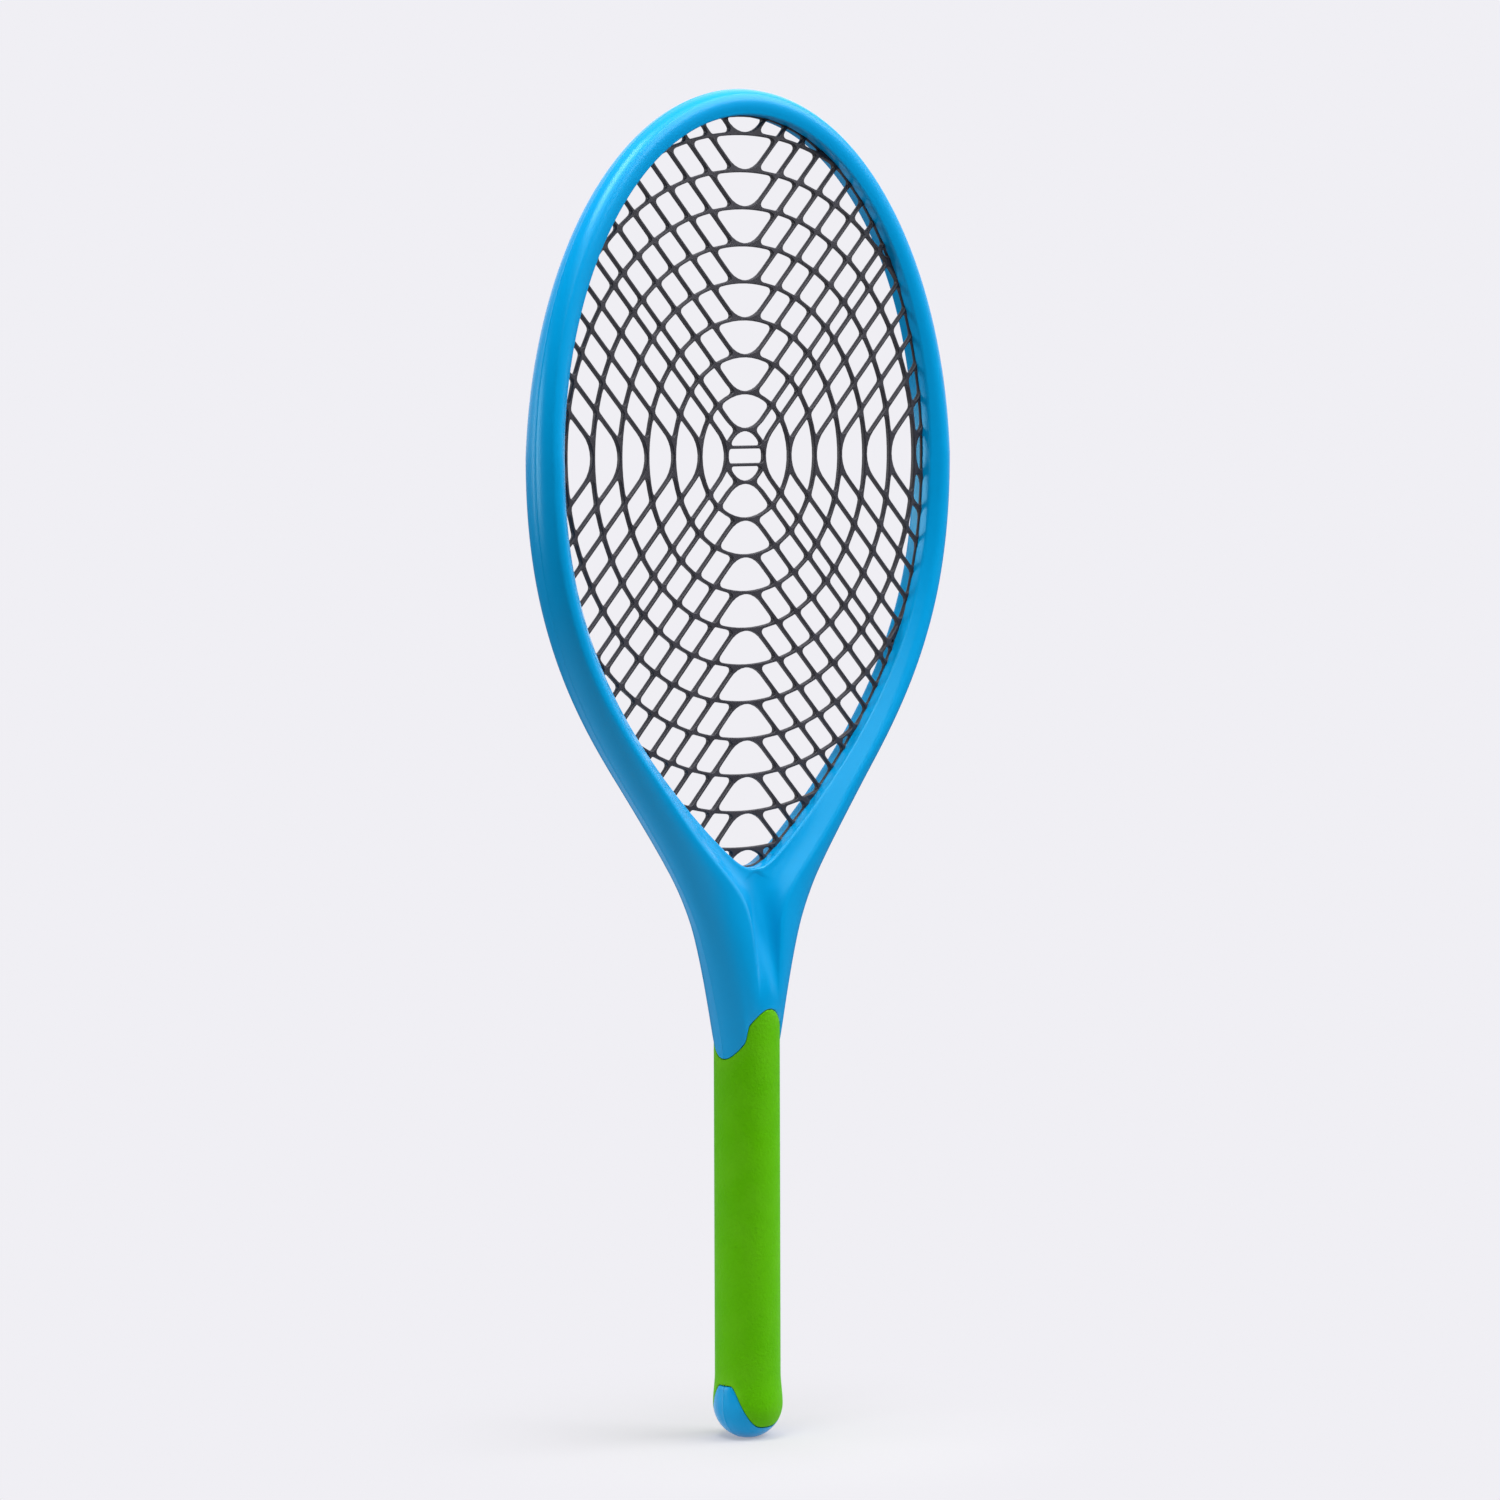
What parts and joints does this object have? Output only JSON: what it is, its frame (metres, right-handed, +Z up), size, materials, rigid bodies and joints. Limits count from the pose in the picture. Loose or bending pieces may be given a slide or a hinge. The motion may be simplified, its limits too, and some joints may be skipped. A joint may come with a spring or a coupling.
{
  "type": "racket",
  "caption": "Junior tennis racket: hollow oval frame of two moulded half shells, one-piece moulded string bed and a soft sleeve on a round handle.",
  "frame": {"origin": "middle of the flat foot under the butt, which is the bottom centre of the bounding box", "axes": "+Z up along the handle to the top of the hoop, X across the head, Y through the thickness with the front face towards -Y"},
  "size_m": [0.2256, 0.0276, 0.5328],
  "materials": {
    "frame_plastic": "satin moulded blue plastic",
    "string_plastic": "matt dark grey moulded plastic",
    "grip_rubber": "fine matt soft-touch green"
  },
  "bodies": {
    "root": {"front_frame_shell": "frame_plastic", "back_frame_shell": "frame_plastic", "string_bed": "string_plastic", "grip_sleeve": "grip_rubber"}
  },
  "joints": []
}
